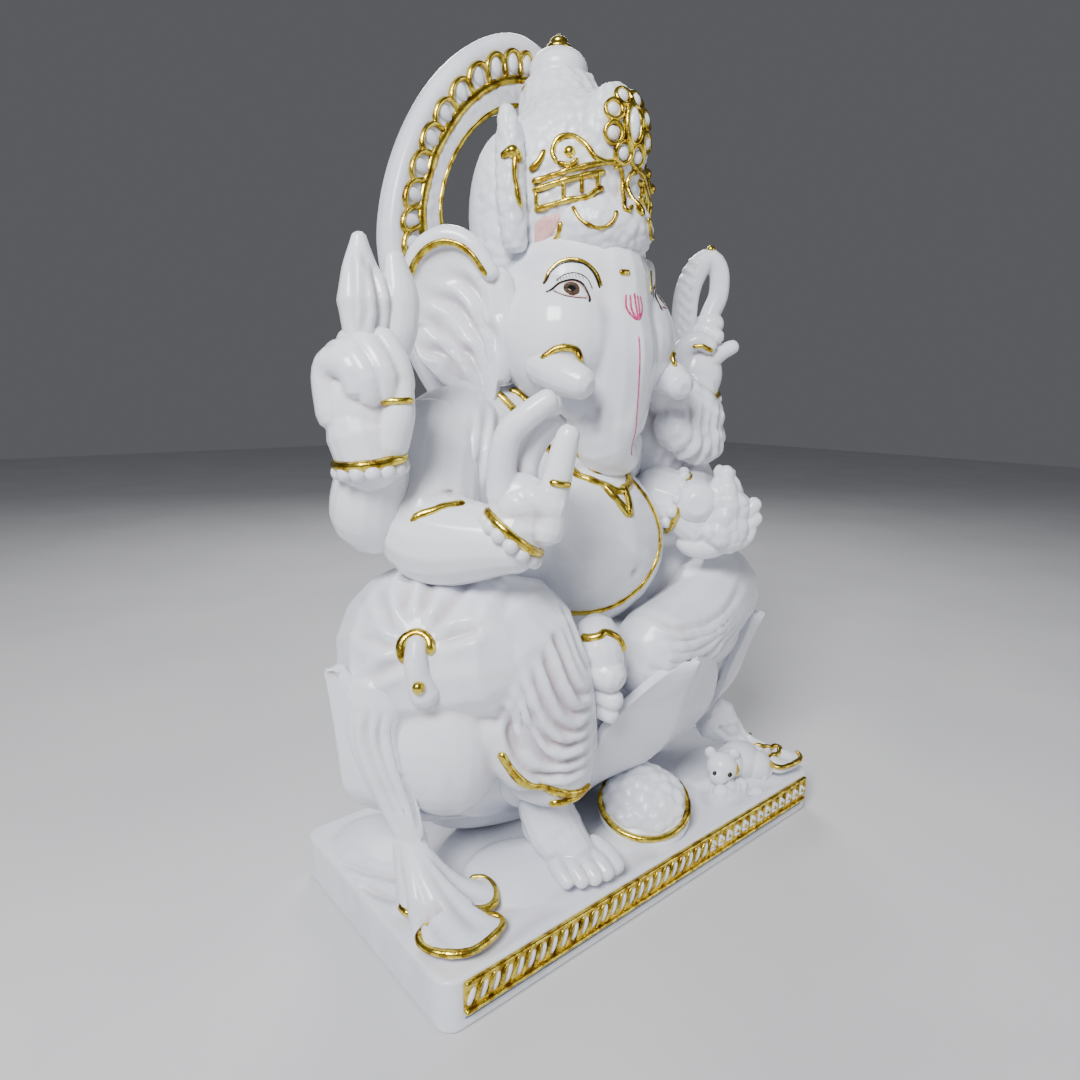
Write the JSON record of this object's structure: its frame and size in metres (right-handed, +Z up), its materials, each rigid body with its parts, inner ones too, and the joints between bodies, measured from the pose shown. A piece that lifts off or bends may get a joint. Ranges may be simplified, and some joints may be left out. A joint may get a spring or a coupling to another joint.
{
  "type": "ganesha idol",
  "caption": "Seated four-armed elephant-headed deity idol in white marble with raised gilding, on a lotus seat and plinth, with an arched halo.",
  "frame": {"origin": "middle of the plinth's flat underside", "axes": "+Z up, -Y the way the figure faces, +X towards the figure's left hand"},
  "size_m": [0.296, 0.1531, 0.457],
  "materials": {
    "polished_marble": "polished",
    "carved_marble": "honed",
    "pitted_marble": "point-tooled",
    "gold_leaf": "burnished gold leaf"
  },
  "bodies": {
    "root": {"collar": "gold_leaf", "crown": "pitted_marble", "crown_band": "gold_leaf", "crown_dome": "carved_marble", "crown_finial": "gold_leaf", "crown_flower": "carved_marble", "gold_anklets": "gold_leaf", "gold_bracelets": "gold_leaf", "halo": "carved_marble", "halo_inner_line": "gold_leaf", "halo_scallops": "gold_leaf", "head": "polished_marble", "hips": "carved_marble", "left_ear": "polished_marble", "left_foot": "polished_marble", "left_ribbon": "carved_marble", "left_sash": "carved_marble", "left_shawl": "carved_marble", "left_shin": "carved_marble", "left_thigh": "carved_marble", "left_tusk": "polished_marble", "lotus_bud": "carved_marble", "lotus_petal_1": "carved_marble", "lotus_petal_2": "carved_marble", "lotus_petal_3": "carved_marble", "lotus_petal_4": "carved_marble", "lotus_petal_5": "carved_marble", "lotus_petal_6": "carved_marble", "lotus_petal_7": "carved_marble", "lotus_petal_8": "carved_marble", "lotus_seat": "carved_marble", "lower_left_arm": "polished_marble", "lower_left_hand": "polished_marble", "lower_right_arm": "polished_marble", "lower_right_hand": "polished_marble", "mouse": "pitted_marble", "noose_loop": "carved_marble", "plate_rim": "gold_leaf", "plate_sweets": "pitted_marble", "plinth": "carved_marble", "plinth_frieze": "gold_leaf", "right_ear": "polished_marble", "right_foot": "polished_marble", "right_ribbon": "carved_marble", "right_sash": "carved_marble", "right_shawl": "carved_marble", "right_shin": "carved_marble", "right_thigh": "carved_marble", "right_tusk": "polished_marble", "sweets_in_hand": "pitted_marble", "sweets_plate": "carved_marble", "torso": "polished_marble", "trunk": "polished_marble", "upper_left_arm": "polished_marble", "upper_left_hand": "polished_marble", "upper_right_arm": "polished_marble", "upper_right_hand": "polished_marble", "waist_cord": "gold_leaf"}
  },
  "joints": []
}
